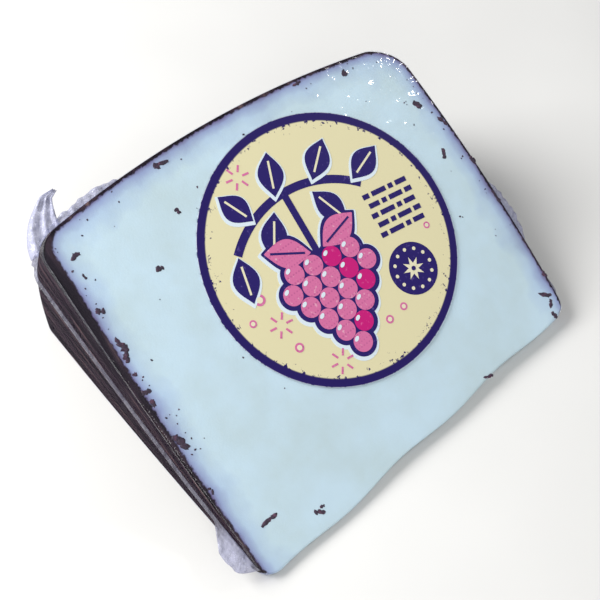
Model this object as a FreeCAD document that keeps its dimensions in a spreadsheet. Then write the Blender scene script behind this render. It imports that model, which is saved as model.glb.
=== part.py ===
"""A wine-washed goat cheese wedge, sealed tight in clear film, with a round paper label.

The wedge was cut from a low wheel and lies on one of its two cut faces. Every sub-part is first
drawn about the axis of that wheel, which runs along Y, and the whole part is then moved so that
its origin is in the middle of the resting face. +X points from the blunt tip to the heel, +Y to
the plainer of the two flat rind sides, and +Z up. All lengths are in millimetres.
"""

import FreeCAD, Part
import math
import os

import Sketcher
from FreeCAD import Vector

# Each driving size has one cell: its alias, its value and what it measures.
SIZES = (
    ("wedge_angle", 29.0, "between the two cut faces, in degrees"),
    ("wheel_height", 90.0, "between the wheel's flat faces, at their edges"),
    ("swell_plus", 0.5, "how far the +Y flat face swells in its middle"),
    ("swell_minus", 1.6, "how far the -Y flat face swells in its middle"),
    ("heel_reach", 79.4, "wheel's axis to the heel's two corners, on average"),
    ("heel_skew", 3.0, "how much farther the heel reaches at +Y than at -Y"),
    ("heel_bulge", 4.4, "how far the heel swells between its corners"),
    ("heel_corner_plus", 4.2, "rounding of the heel's corner on the +Y side"),
    ("heel_corner_minus", 6.8, "rounding of the heel's corner on the -Y side"),
    ("tip_setback", 5.2, "wheel's axis to the blunt tip, in its middle"),
    ("tip_skew", 4.4, "how much nearer the axis the tip is at +Y than at -Y"),
    ("tip_wave", 0.45, "height of the waves that handling left in the tip"),
    ("tip_waves", 3, "how many such waves there are"),
    ("tip_corner_plus", 5.0, "rounding of the tip's corner on the +Y side"),
    ("tip_corner_minus", 3.0, "rounding of the tip's corner on the -Y side"),
    ("rim_rounding", 0.8, "rounding of the edges of both cut faces"),
    ("seam_angle", 19.0, "resting face to the plane of the film's seam, in degrees"),
    ("film_thickness", 0.3, "two layers of film, welded and crinkled"),
    ("flange_start", 2.3, "tip to both ends of the flange"),
    ("flange_plus", 0.8, "width of the flange along the +Y side"),
    ("fin_width", 3.2, "width of the fin near the tip on the +Y side"),
    ("fin_place", 7.5, "tip to the middle of that fin"),
    ("ear_width", 9.1, "how far the ear at the heel's +Y corner stands out from the heel"),
    ("ear_place", 13.3, "+Y flat face to the tip of the ear, along Y"),
    ("ear_bow", 1.8, "how far the ear's outer edge bows out"),
    ("notch_width", 1.6, "width left in the notch between the ear and the flap"),
    ("flap_width", 3.7, "width of the flap behind the heel"),
    ("flange_minus", 3.0, "width of the flange along the -Y side"),
    ("lobe_width", 5.0, "width of the lobe on the -Y side"),
    ("lobe_place", 29.8, "tip to the middle of that lobe"),
    ("label_diameter", 57.6, "round paper label"),
    ("label_thickness", 0.2, "paper with its glue"),
    ("label_reach", 48.6, "wheel's axis to the label's centre, up the upper cut face"),
    ("label_offset", -5.8, "label's centre from the wheel's mid-height, along Y"),
)
TIP_POINTS = 13  # points that carry the waves of the tip
TOUCH = 1e-3  # how near to a face or circle a point counts as on it
HEEL_AT_PLUS = "(sizes.heel_reach + sizes.heel_skew / 2)"
HEEL_AT_MINUS = "(sizes.heel_reach - sizes.heel_skew / 2)"
HEEL_CHORD = "sqrt(sizes.wheel_height ^ 2 + sizes.heel_skew ^ 2)"
TIP_AT_PLUS = "(sizes.tip_setback - sizes.tip_skew / 2)"
TIP_AT_MINUS = "(sizes.tip_setback + sizes.tip_skew / 2)"
# The tip is at its thinnest where it comes nearest to the axis. Two roundings have to fit there.
THIN_TIP = f"({TIP_AT_PLUS} - sizes.tip_wave) * tan(sizes.wedge_angle * 1 deg)"
RIM_RADIUS = f"min(sizes.rim_rounding; 0.45 * {THIN_TIP})"


def make_sheet(doc):
    """Fills the spreadsheet and gives back its values by alias."""
    sheet = doc.addObject("Spreadsheet::Sheet", "sizes")
    for row, (alias, value, meaning) in enumerate(SIZES, start=1):
        sheet.set(f"A{row}", meaning)
        sheet.set(f"B{row}", str(value))
        sheet.setAlias(f"B{row}", alias)
    doc.recompute()
    return {alias: float(sheet.get(alias)) for alias, _, _ in SIZES}


def new_body(doc, name):
    body = doc.addObject("PartDesign::Body", name)
    body.Label = name
    return body


def new_sketch(body, name):
    """A sketch on the body's own XY plane."""
    plane = next(item for item in body.Origin.OriginFeatures if item.Role == "XY_Plane")
    sketch = body.newObject("Sketcher::SketchObject", name)
    sketch.AttachmentSupport = [(plane, "")]
    sketch.MapMode = "FlatFace"
    return sketch


def bind(thing, path, expression):
    thing.setExpression(path, expression)


def name_size(sketch, index, name, expression):
    """Names a dimension of a sketch and ties it to the sheet."""
    sketch.renameConstraint(index, name)
    bind(sketch, f"Constraints.{name}", expression)


def place(thing, angle):
    """Turns a sub-part up from the resting face and moves the wheel's axis into place."""
    thing.Placement = FreeCAD.Placement(Vector(0, 0, 0), FreeCAD.Rotation(Vector(0, -1, 0), 1.0))
    bind(thing, "Placement.Rotation.Angle", angle)
    bind(thing, "Placement.Base.x", "-(sizes.tip_setback + sizes.heel_reach + sizes.heel_bulge) / 2")


def heel_ends(value):
    """Distances from the wheel's axis to the heel's corners at +Y and at -Y."""
    return tuple(value["heel_reach"] + side * value["heel_skew"] / 2 for side in (1, -1))


def tip_line(value):
    """Points of the worn tip, from -Y to +Y, as distances from the wheel's axis."""
    height = value["wheel_height"]
    points = []
    for step in range(TIP_POINTS):
        along = step / (TIP_POINTS - 1) - 0.5
        wave = value["tip_wave"] * math.sin(2 * math.pi * value["tip_waves"] * along)
        points.append(Vector(value["tip_setback"] - value["tip_skew"] * along + wave, height * along, 0))
    return points


def draw_section(sketch, value):
    """What the knife left of half the wheel's section: two flat faces, the heel and the worn tip."""
    half = value["wheel_height"] / 2
    reach_plus, reach_minus = heel_ends(value)
    crown = value["heel_reach"] + value["heel_bulge"]
    line = tip_line(value)
    low, high = line[0].x, line[-1].x
    worn = Part.BSplineCurve()
    worn.interpolate(line)
    tip = sketch.addGeometry(worn)
    arcs = []
    for start, middle, end in (
        ((high, half), ((high + reach_plus) / 2, half + value["swell_plus"]), (reach_plus, half)),
        ((reach_plus, half), (crown, 0), (reach_minus, -half)),
        ((reach_minus, -half), ((low + reach_minus) / 2, -half - value["swell_minus"]), (low, -half)),
    ):
        arc = Part.Arc(Vector(*start, 0), Vector(*middle, 0), Vector(*end, 0))
        arcs.append(sketch.addGeometry(arc))
    plus, heel, minus = arcs
    # An arc's point 1 is where it starts going counter-clockwise, so each list entry ends there.
    for first, second in (((tip, 2), (plus, 2)), ((plus, 1), (heel, 2)), ((heel, 1), (minus, 2)),
                          ((minus, 1), (tip, 1))):
        sketch.addConstraint(Sketcher.Constraint("Coincident", *first, *second))
    for edge, point, sign, name in ((plus, 2, 1, "plus_at_tip"), (plus, 1, 1, "plus_at_heel"),
                                    (minus, 1, -1, "minus_at_tip"), (minus, 2, -1, "minus_at_heel")):
        size = Sketcher.Constraint("DistanceY", edge, point, sign * half)
        name_size(sketch, sketch.addConstraint(size), name, f"{sign} * sizes.wheel_height / 2")
    for edge, point, place_x, name, formula in (
        (plus, 1, reach_plus, "reach_plus", HEEL_AT_PLUS),
        (minus, 2, reach_minus, "reach_minus", HEEL_AT_MINUS),
        (plus, 2, high, "tip_plus", TIP_AT_PLUS),
        (minus, 1, low, "tip_minus", TIP_AT_MINUS),
    ):
        size = Sketcher.Constraint("DistanceX", edge, point, place_x)
        name_size(sketch, sketch.addConstraint(size), name, formula)
    for edge, chord, formula, rise in (
        (plus, reach_plus - high, f"({HEEL_AT_PLUS} - {TIP_AT_PLUS})", "swell_plus"),
        (heel, math.hypot(2 * half, value["heel_skew"]), HEEL_CHORD, "heel_bulge"),
        (minus, reach_minus - low, f"({HEEL_AT_MINUS} - {TIP_AT_MINUS})", "swell_minus"),
    ):
        radius = (chord ** 2 / 4 + value[rise] ** 2) / (2 * value[rise])
        index = sketch.addConstraint(Sketcher.Constraint("Radius", edge, radius))
        formula = f"({formula} ^ 2 / 4 + sizes.{rise} ^ 2) / (2 * sizes.{rise})"
        name_size(sketch, index, f"radius_of_{rise}", formula)


def edges_where(feature, test):
    """Names of the feature's edges whose middle passes the test."""
    names = []
    for number, edge in enumerate(feature.Shape.Edges, start=1):
        middle = edge.valueAt((edge.FirstParameter + edge.LastParameter) / 2)
        if test(middle):
            names.append(f"Edge{number}")
    return names


def round_edges(body, base, name, edges, radius):
    fillet = body.newObject("PartDesign::Fillet", name)
    fillet.Base = (base, edges)
    fillet.UseAllEdges = False
    bind(fillet, "Radius", radius)
    body.Document.recompute()
    return fillet


def make_wedge(doc, value):
    """The cheese in its tight film: a wedge of the wheel with every corner and edge rounded."""
    body = new_body(doc, "wrapped_wedge")
    section = new_sketch(body, "wheel_section")
    draw_section(section, value)
    turned = body.newObject("PartDesign::Revolution", "turned_wedge")
    turned.Profile = section
    turned.ReferenceAxis = (section, ["V_Axis"])
    turned.Reversed = True
    bind(turned, "Angle", "sizes.wedge_angle")
    doc.recompute()

    slope = math.radians(value["wedge_angle"])
    half = value["wheel_height"] / 2
    heel_plus, heel_minus = heel_ends(value)
    tip_plus, tip_minus = (value["tip_setback"] - side * value["tip_skew"] / 2 for side in (1, -1))

    def on_resting_face(point):
        return abs(point.z) < TOUCH

    def on_upper_face(point):
        return abs(point.z * math.cos(slope) - point.x * math.sin(slope)) < TOUCH

    def at_corner(side, reach):
        def test(point):
            off = max(abs(math.hypot(point.x, point.z) - reach), abs(point.y - side * half))
            return off < TOUCH and not on_resting_face(point) and not on_upper_face(point)
        return test

    shape = turned
    for name, test, radius in (
        ("heel_corner_at_plus", at_corner(1, heel_plus), "sizes.heel_corner_plus"),
        ("heel_corner_at_minus", at_corner(-1, heel_minus), "sizes.heel_corner_minus"),
        ("tip_corner_at_plus", at_corner(1, tip_plus), "sizes.tip_corner_plus"),
        ("tip_corner_at_minus", at_corner(-1, tip_minus), "sizes.tip_corner_minus"),
        ("rim_of_resting_face", on_resting_face, RIM_RADIUS),
        ("rim_of_upper_face", on_upper_face, RIM_RADIUS),
    ):
        shape = round_edges(body, shape, name, edges_where(shape, test), radius)
    body.Tip = shape
    place(body, "0 deg")
    return body


def flange_stretches(value):
    """The flange's outer edge in the plane of the seam, from the tip at +Y round the heel.

    Each stretch is its end and, where it bows, the point that its arc passes through.
    """
    plus = value["wheel_height"] / 2 + value["swell_plus"]
    minus = value["wheel_height"] / 2 + value["swell_minus"]
    reach_plus, reach_minus = heel_ends(value)
    crown = value["heel_reach"] + value["heel_bulge"]
    first_x = value["tip_setback"] + value["flange_start"]
    fin = value["tip_setback"] + value["fin_place"]
    fin_end = fin + 2 * (fin - first_x)
    lobe = value["tip_setback"] + value["lobe_place"]
    lobe_end = 2 * lobe - first_x
    flange_plus = plus + value["flange_plus"]
    flange_minus = minus + value["flange_minus"] / 2
    ear_tip = (crown + value["ear_width"], plus - value["ear_place"])
    notch = (crown + value["notch_width"], ear_tip[1] + value["flange_plus"])
    ear_back = ((reach_plus + ear_tip[0]) / 2, (flange_plus + ear_tip[1]) / 2 + value["ear_bow"])
    ear_front = ((ear_tip[0] + notch[0]) / 2, notch[1] + value["flange_plus"] / 3)
    flap = crown + value["flap_width"]
    flap_start = (flap - value["flange_plus"], ear_tip[1] - value["flange_plus"])
    flap_end = (reach_minus + value["flange_minus"], -minus + value["heel_corner_minus"])
    first = (first_x, plus - value["tip_corner_plus"] / 2)
    return first, (
        ((fin, plus + value["fin_width"]), None),
        ((fin_end, flange_plus), ((fin + fin_end) / 2, (flange_plus + plus + value["fin_width"]) / 2 - 0.2)),
        ((reach_plus, flange_plus), None),
        (ear_tip, ear_back),
        (notch, ear_front),
        (flap_start, None),
        (flap_end, (flap, 0)),
        ((reach_minus - value["flange_minus"], -flange_minus), (reach_minus, -minus)),
        ((lobe_end, -flange_minus), None),
        ((first_x, -minus + value["tip_corner_minus"]), (lobe, -minus - value["lobe_width"])),
        (first, None),
    )


def make_flange(doc, value, wedge):
    """The welded edge of the film: a thin plate round three sides, less the wedge inside it."""
    body = new_body(doc, "flange_sheet")
    sketch = new_sketch(body, "flange_outline")
    start, stretches = flange_stretches(value)
    for end, middle in stretches:
        ends = Vector(*start, 0), Vector(*end, 0)
        if middle is None:
            sketch.addGeometry(Part.LineSegment(*ends))
        else:
            sketch.addGeometry(Part.Arc(ends[0], Vector(*middle, 0), ends[1]))
        start = end
    plate = body.newObject("PartDesign::Pad", "flange_plate")
    plate.Profile = sketch
    plate.Midplane = True
    bind(plate, "Length", "sizes.film_thickness")
    place(body, "sizes.seam_angle * 1 deg")
    flange = doc.addObject("Part::Cut", "film_flange")
    flange.Label = "film_flange"
    flange.Base = body
    flange.Tool = wedge
    return flange


def make_label(doc, value):
    """The round paper label, flat on the upper cut face."""
    body = new_body(doc, "label")
    sketch = new_sketch(body, "label_outline")
    centre = Vector(value["label_reach"], value["label_offset"], 0)
    ring = sketch.addGeometry(Part.Circle(centre, Vector(0, 0, 1), value["label_diameter"] / 2))
    for kind, name, size in (("DistanceX", "reach", "label_reach"), ("DistanceY", "offset", "label_offset")):
        index = sketch.addConstraint(Sketcher.Constraint(kind, ring, 3, value[size]))
        name_size(sketch, index, name, f"sizes.{size}")
    index = sketch.addConstraint(Sketcher.Constraint("Diameter", ring, value["label_diameter"]))
    name_size(sketch, index, "diameter", "sizes.label_diameter")
    paper = body.newObject("PartDesign::Pad", "label_paper")
    paper.Profile = sketch
    bind(paper, "Length", "sizes.label_thickness")
    place(body, "sizes.wedge_angle * 1 deg")
    return body


def check(doc, nodes):
    """Stops before anything is written if a feature failed or a solid is not sound."""
    for item in doc.Objects:
        if "Invalid" in item.State or "Error" in item.State:
            raise RuntimeError(f"{item.Name} failed: {item.State}")
    for node in nodes:
        if node.Shape.isNull() or not node.Shape.isValid() or len(node.Shape.Solids) != 1:
            raise RuntimeError(f"{node.Label} is not one sound solid")
        box = node.Shape.BoundBox
        print(f"{node.Label}: {node.Shape.Volume / 1000:.2f} cm3, x {box.XMin:.2f} to {box.XMax:.2f},"
              f" y {box.YMin:.2f} to {box.YMax:.2f}, z {box.ZMin:.2f} to {box.ZMax:.2f}")


def main():
    doc = FreeCAD.newDocument("cheese_wedge")
    value = make_sheet(doc)
    wedge = make_wedge(doc, value)
    nodes = (wedge, make_flange(doc, value, wedge), make_label(doc, value))
    doc.recompute()
    check(doc, nodes)
    os.makedirs("parts", exist_ok=True)
    for node in nodes:
        node.Shape.exportStep(f"parts/{node.Label}.step")


main()
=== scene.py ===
# %% [markdown]
# # A vacuum-packed wedge of wine-washed goat cheese
#
# The real thing is a slice of a low wheel. The paste is white and smooth, and the rind is nearly
# black because the wheel was bathed in red wine. Clear film is shrunk tight round the slice, and a
# round paper label sits on the upper cut face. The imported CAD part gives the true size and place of
# everything, so this lesson starts by loading it and then dresses each part of it.

import math
import random

import bmesh
import bpy
from mathutils import Matrix, Vector, noise


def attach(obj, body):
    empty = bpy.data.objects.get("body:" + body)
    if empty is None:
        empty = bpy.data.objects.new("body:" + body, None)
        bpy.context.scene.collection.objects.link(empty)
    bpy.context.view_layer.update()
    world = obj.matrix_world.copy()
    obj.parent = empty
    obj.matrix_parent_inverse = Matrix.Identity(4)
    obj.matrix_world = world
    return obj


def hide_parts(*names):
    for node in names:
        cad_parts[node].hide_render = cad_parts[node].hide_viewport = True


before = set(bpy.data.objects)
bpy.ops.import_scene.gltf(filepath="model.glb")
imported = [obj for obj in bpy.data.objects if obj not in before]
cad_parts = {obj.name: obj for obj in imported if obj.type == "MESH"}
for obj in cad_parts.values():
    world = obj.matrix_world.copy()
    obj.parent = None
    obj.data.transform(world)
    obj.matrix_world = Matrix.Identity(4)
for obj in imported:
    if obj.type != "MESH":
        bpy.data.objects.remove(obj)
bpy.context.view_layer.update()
print("CAD nodes:", sorted(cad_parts))

# %% [markdown]
# ## The shape of the slice
#
# A slice of a wheel is simplest to describe from the wheel's own axis. A point is then given by its
# distance from the axis, its place along the axis and how far it has turned up from the board.
# Every piece below is shaped with the same few functions, so they all fit one another. Sizes are
# in millimetres and turn into metres only when a point is placed.

# %% Sizes of the slice
MM = 0.001
WEDGE_ANGLE = math.radians(29)
SEAM_ANGLE = math.radians(19)
HALF_HEIGHT = 45.0
SWELL = {1: 0.5, -1: 1.6}
HEEL_REACH, HEEL_SKEW, HEEL_BULGE = 79.4, 3.0, 4.4
TIP_SETBACK, TIP_SKEW, TIP_WAVE = 5.2, 4.4, 0.45
HEEL_CORNER = {1: 4.2, -1: 6.8}
TIP_CORNER = {1: 5.0, -1: 3.0}
RIM_ROUNDING = 0.8
FILM_GAP = 0.15
TIP_WAVES = 3
AXIS_X = -(TIP_SETBACK + HEEL_REACH + HEEL_BULGE) / 2


def tip_at(across):
    """Distance from the axis to the worn tip; across runs from -1 to 1 over the wheel's height."""
    wave = TIP_WAVE * math.sin(TIP_WAVES * math.pi * across)
    return TIP_SETBACK - TIP_SKEW / 2 * across + wave


def heel_at(across):
    """Distance from the axis to the heel, which bulges most at mid-height."""
    return HEEL_REACH + HEEL_SKEW / 2 * across + HEEL_BULGE * (1 - across ** 2)


def flat_face_at(side, share):
    """Distance from mid-height to a flat face; share runs from 0 at the tip to 1 at the heel."""
    return HALF_HEIGHT + SWELL[side] * (1 - (2 * share - 1) ** 2)


def wheel_point(rho, y, angle):
    """Turns a place on the wheel, in millimetres, into a point in metres."""
    return Vector((AXIS_X + rho * math.cos(angle), y, rho * math.sin(angle))) * MM


def section_point(share, across, inset=0.0):
    """A place in the wheel's section with its four corners rounded."""
    side = 1 if across >= 0 else -1
    low, high = tip_at(across) + inset, heel_at(across) - inset
    face = flat_face_at(side, share) - inset
    rho = low + (high - low) * share
    y = across * face
    for corner, end, inward in ((HEEL_CORNER, high, -1), (TIP_CORNER, low, 1)):
        radius = corner[side] - inset
        a = 1 - abs(end - rho) / radius
        b = 1 - (face - abs(y)) / radius
        if a > 0 and b > 0:
            rho = end + inward * radius * (1 - a * math.sqrt(1 - b * b / 2))
            y = side * (face - radius * (1 - b * math.sqrt(1 - a * a / 2)))
    return rho, y


def rind_distance(rho, y, side_band=0.0):
    """How deep a place lies under the heel and the flat faces; a side band moves the +Y face in."""
    side = 1 if y >= 0 else -1
    across = max(-1.0, min(1.0, y / HALF_HEIGHT))
    share = (rho - tip_at(across)) / (heel_at(across) - tip_at(across))
    under_heel = heel_at(across) - rho
    under_face = flat_face_at(side, max(0.0, min(1.0, share))) - abs(y)
    if side > 0:
        under_face -= side_band
    radius = HEEL_CORNER[side]
    if under_heel < radius and under_face < radius:
        return radius - math.hypot(radius - under_heel, radius - under_face)
    return min(under_heel, under_face)


def wall_distance(rho, y):
    """How deep a place lies under the nearest wall, the tip's included."""
    across = max(-1.0, min(1.0, y / HALF_HEIGHT))
    return min(rind_distance(rho, y), rho - tip_at(across))


print("wheel's axis at x", AXIS_X, "mm; heel reaches", round(heel_at(0), 1), "mm from it")

# %% [markdown]
# ## A block that becomes the slice
#
# A cube that is cut into rows has the same layout as the slice: one side of it becomes the tip, one
# the heel, two the flat faces and two the cut faces. Moving its vertices keeps clean quads all
# over, which a Boolean would not, and the cheese and the film can share the recipe. The first two
# rows beside each edge are kept narrow, so that the edges can be rounded without a bevel.

# %% Spread the rows and round the edges
NARROW_ROWS = 2
RIM_ROW = RIM_ROUNDING / NARROW_ROWS
WORN_AT_TIP, WORN_TO_HEEL = 1.0, 1.9
TINY = 1e-6


def spread(place, rows, length):
    """Row places along an edge of the block: narrow rows at both ends and even ones between."""
    row = (place + 0.5) * rows
    near_end = min(row, rows - row)
    if near_end <= NARROW_ROWS:
        distance = near_end * RIM_ROW
        return distance if row <= NARROW_ROWS else length - distance
    even_row = (length - 2 * NARROW_ROWS * RIM_ROW) / (rows - 2 * NARROW_ROWS)
    return NARROW_ROWS * RIM_ROW + (row - NARROW_ROWS) * even_row


def rim_radius(share, side_depth, top):
    """The upper edge of the +Y face is worn rounder than the others, most of all at the heel."""
    worn = WORN_AT_TIP + WORN_TO_HEEL * share
    near = max(0.0, 1 - side_depth / (2 * worn))
    return RIM_ROUNDING + (worn - RIM_ROUNDING) * near if top else RIM_ROUNDING


def roll(distance, radius):
    """How far a rounded edge of that radius has fallen away at this distance from the edge."""
    nearness = max(0.0, 1 - distance / radius)
    return radius * (1 - math.sqrt(1 - nearness ** 2 / 2))


print("rows beside each edge are", RIM_ROW, "mm wide")

# %% Cut a block and bend it into the slice


def cut_block(rows):
    """A unit cube cut into rows along each of its axes."""
    block = bmesh.new()
    bmesh.ops.create_cube(block, size=1.0)
    for axis, count in enumerate(rows):
        edges = [e for e in block.edges if abs((e.verts[0].co - e.verts[1].co)[axis]) > TINY]
        bmesh.ops.subdivide_edges(block, edges=edges, cuts=count - 1, use_grid_fill=True)
    return block


def at_end(place):
    """True on either end face of the unit cube."""
    return abs(abs(place) - 0.5) < TINY


def bend_block(block, rows, gap, relief):
    """Moves the block's vertices to the slice, gap under its outside; relief adds to each height."""
    for vert in block.verts:
        along, over, up = vert.co
        across = spread(over, rows[1], 2 * HALF_HEIGHT) / HALF_HEIGHT - 1
        length = heel_at(across) - tip_at(across)
        share = spread(along, rows[0], length) / length
        at_wall = at_end(along) or at_end(over)
        at_cut = at_end(up)
        rho, y = section_point(share, across, gap)
        arc = rho * WEDGE_ANGLE
        height = spread(up, rows[2], arc)
        from_cut = min(height, arc - height)
        side_depth = flat_face_at(1, share) - y
        radius = rim_radius(share, side_depth, up > 0)
        if at_wall:
            rho, y = section_point(share, across, gap + roll(from_cut, radius))
        sunk = roll(wall_distance(rho, y), radius) if at_cut else 0.0
        angle = height / arc * WEDGE_ANGLE
        lift = relief(rho, y, up) if at_cut and not at_wall else 0.0
        inward = Vector((math.sin(angle), 0, -math.cos(angle))) if up > 0 else Vector((0, 0, 1))
        nearness = 2 * abs(up)
        vert.co = wheel_point(rho, y, angle) + inward * ((gap + sunk) * nearness - lift) * MM


# %% Turn a finished bmesh into a piece


def merge(made, part):
    """Moves one bmesh's shapes into another."""
    carrier = bpy.data.meshes.new("carrier")
    part.to_mesh(carrier)
    part.free()
    made.from_mesh(carrier)
    bpy.data.meshes.remove(carrier)


def finish_piece(mesh_name, made, smooth=True):
    """Closes a bmesh into an object at the origin, with its normals pointing out."""
    bmesh.ops.recalc_face_normals(made, faces=made.faces)
    mesh = bpy.data.meshes.new(mesh_name)
    made.to_mesh(mesh)
    made.free()
    for polygon in mesh.polygons:
        polygon.use_smooth = smooth
    piece = bpy.data.objects.new(mesh_name, mesh)
    bpy.context.scene.collection.objects.link(piece)
    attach(piece, "root")
    print(mesh_name, len(mesh.polygons), "faces")
    return piece


# %% [markdown]
# ## The cheese
#
# The paste was cut with a wire or a blade, so its two cut faces are flat but never perfect. They
# get a relief of about a tenth of a millimetre from smooth noise. Two numbers are stored at each
# vertex for the material: how deep it lies under the rind, and a coordinate that runs round the
# wheel, so that the rind's grain can follow the wheel and not the axes of the room.

# %% Make the cheese
CHEESE_ROWS = (76, 86, 26)
CUT_WAVES = ((0.10, 17), (0.035, 5))  # height and length of each wave in the cut face
FACES_APART = 40
BAND_AT_TIP, BAND_TO_HEEL, BAND_START, BAND_RUN = 0.3, 1.7, 12, 62
GRAIN_RADIUS = 60


def paste_relief(rho, y, up):
    """Smooth waves; the two cut faces take them from places far apart in the noise."""
    place = Vector((rho, y, FACES_APART * up))
    return sum(height * noise.noise(place / length) for height, length in CUT_WAVES)


def plus_rind_width(rho):
    """The rind on the +Y side shows as a band on the cut face, wide at the heel, thin at the tip."""
    grown = max(0.0, min(1.0, (rho - BAND_START) / BAND_RUN))
    return BAND_AT_TIP + BAND_TO_HEEL * grown ** 1.3


block = cut_block(CHEESE_ROWS)
bend_block(block, CHEESE_ROWS, FILM_GAP, paste_relief)
cheese = finish_piece("goat_cheese", block)

# %% Store the depth under the rind and the run of its grain
depths = cheese.data.attributes.new("rind_depth", "FLOAT", "POINT")
grains = cheese.data.attributes.new("rind_grain", "FLOAT_VECTOR", "POINT")
for vertex, depth, grain in zip(cheese.data.vertices, depths.data, grains.data):
    x, y, z = vertex.co / MM
    rho, angle = math.hypot(x - AXIS_X, z), math.atan2(z, x - AXIS_X)
    band = plus_rind_width(rho) if angle > WEDGE_ANGLE / 2 else 0.0
    depth.value = rind_distance(rho + FILM_GAP, y * (1 + FILM_GAP / HALF_HEIGHT), band)
    grain.vector = (rho, y, angle * GRAIN_RADIUS)
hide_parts("wrapped_wedge")
print("rind shows up to", plus_rind_width(HEEL_REACH), "mm wide on the cut face")

# %% [markdown]
# ## The film
#
# Shrink film lies on the cheese like a second skin. A separate closed skin, a little outside the
# cheese, lets light pass to the paste and back and adds its own reflections, which a coat on the
# cheese could not do over the crumbs. The film is smooth on most of the cut face. Near the corner
# of the heel at -Y it gathers into short ripples, and these are real relief because their glints
# move as the pack is turned. Each vertex also stores how much it lies over the rind, because the
# film is duller there.

# %% Make the film skin
FILM_ROWS = (150, 170, 22)
CALM_HEIGHT, CALM_LENGTH = 0.05, 9
RIPPLE_CORNER, RIPPLE_REACH = (74.0, -39.0), 26.0
RIPPLE_HEIGHT, RIPPLE_WIDTH, RIPPLE_LENGTH = 0.30, 2.2, 6.0
SWIRL, SWIRL_LENGTH = 2.0, 7
RIND_WIDTH = 1.2


def film_relief(rho, y, up):
    """The face that the pack rests on is pressed flat; the upper one is free to ripple."""
    if up < 0:
        return 0.0
    place = Vector((rho, y, FACES_APART * up))
    calm = CALM_HEIGHT * noise.noise(place / CALM_LENGTH)
    off = math.hypot(rho - RIPPLE_CORNER[0], (y - RIPPLE_CORNER[1]) * 0.8)
    mask = max(0.0, 1 - off / RIPPLE_REACH) ** 0.8
    swirl = noise.noise(place / SWIRL_LENGTH) * SWIRL
    across_ripple = (rho + y / 2 + swirl) / RIPPLE_WIDTH
    along_ripple = (y - rho / 2 + swirl) / RIPPLE_LENGTH
    # The noise crosses zero along winding lines, and each of them becomes the crest of a ripple.
    crest = max(0.0, 1 - 3 * abs(noise.noise(Vector((across_ripple, along_ripple, 0)))))
    return calm + RIPPLE_HEIGHT * mask * crest ** 2


block = cut_block(FILM_ROWS)
bend_block(block, FILM_ROWS, 0.0, film_relief)
film = finish_piece("shrink_film", block)

# %% Store how much of the film lies over the rind
covers = film.data.attributes.new("over_rind", "FLOAT", "POINT")
for vertex, cover in zip(film.data.vertices, covers.data):
    x, y, z = vertex.co / MM
    depth = rind_distance(math.hypot(x - AXIS_X, z), y)
    cover.value = max(0.0, min(1.0, 1 - depth / RIND_WIDTH))
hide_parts("wrapped_wedge")
print(sum(cover.value > 0 for cover in covers.data), "of the film's vertices lie over the rind")

# %% [markdown]
# ## The welded edge of the film
#
# Two layers of film are welded together in a seam that runs round three sides of the slice. Along
# the +Y side it is a narrow bead. It spreads into a crumpled fin near the tip, a horn-shaped ear at
# the corner of the heel, a flap behind the heel and a lobe on the -Y side. A grid wrapped along the
# side of the slice makes all of it but the ear: its length follows the wall, and its width is a sum
# of smooth bumps. Crinkles grow towards the free edge, where nothing holds the film. A number stored
# at each vertex says how loose the film is, and its material reads it. On the +Y side that number is
# cut down, so that the fin there takes a greyer colour as painted shade. Solidify gives the sheet its
# thickness once its shape is done.

# %% Sizes of the seam
SEAM_START, SEAM_ROOT, SEAM_THICKNESS = 7.5, 0.25, 0.16
BUMPS_OF_SEAM = (
    # side of the slice, middle, half-length, width and bluntness of each bump
    ("plus", 13.2, 7.2, 3.1, 1.2),
    ("heel", 28.0, 13.0, 3.0, 0.7),
    ("heel", -10.0, 26.0, 1.2, 0.7),
    ("minus", 35.0, 12.0, 3.4, 0.7),
)
SEAM_BEAD = {"plus": 0.75, "heel": 1.4, "minus": 1.5}
# On the +Y side the slack is cut down, so that the fin there takes a greyer colour: painted shade.
SLACK_AND_SHADE_SHARE = {"plus": 0.35, "heel": 1.0, "minus": 1.0}
FIN_RISE, FIN_FROM, FIN_TO = 1.3, 27.0, 12.0
SEAM_CELLS = (560, 8)
TAPER, LOOK_ASIDE, LAST_RUN = 0.012, 0.002, 0.9999  # shares of the seam's whole run
FRAY, FRAY_LENGTH = 0.16, 2.2
CRINKLE, CRINKLE_LENGTH = 0.9, 1.3
CURL = 0.35
print("seam has", len(BUMPS_OF_SEAM), "wide places")

# %% Follow the wall of the slice


def wall_place(run):
    """The stretch, the place on it and the section point at this share of the seam's run."""
    side_length, heel_length = HEEL_REACH - SEAM_START, 2 * HALF_HEIGHT
    distance = run * (2 * side_length + heel_length)
    start = (SEAM_START - TIP_SETBACK) / (HEEL_REACH - TIP_SETBACK)
    if distance < side_length:
        share = start + (1 - start) * distance / side_length
        return "plus", SEAM_START + distance, section_point(share, 1.0)
    if distance < side_length + heel_length:
        y = HALF_HEIGHT - (distance - side_length)
        return "heel", y, section_point(1.0, y / HALF_HEIGHT)
    left = distance - side_length - heel_length
    share = 1 - (1 - start) * left / side_length
    return "minus", HEEL_REACH - left, section_point(share, -1.0)


def seam_width(stretch, place):
    """The bead's width and that of each bump on the same side of the slice."""
    width = SEAM_BEAD[stretch]
    for name, middle, half_length, height, blunt in BUMPS_OF_SEAM:
        nearness = max(0.0, 1 - ((place - middle) / half_length) ** 2)
        width += height * nearness ** blunt if name == stretch else 0.0
    return width


def seam_point(rho, y, lift):
    """A point of the seam, which runs at one angle round the wheel and lifts a little off it."""
    normal = Vector((-math.sin(SEAM_ANGLE), 0, math.cos(SEAM_ANGLE)))
    return wheel_point(rho, y, SEAM_ANGLE) + normal * lift * MM


print("seam is", round(seam_width("plus", BUMPS_OF_SEAM[0][1]), 1), "mm wide at the fin")

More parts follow.
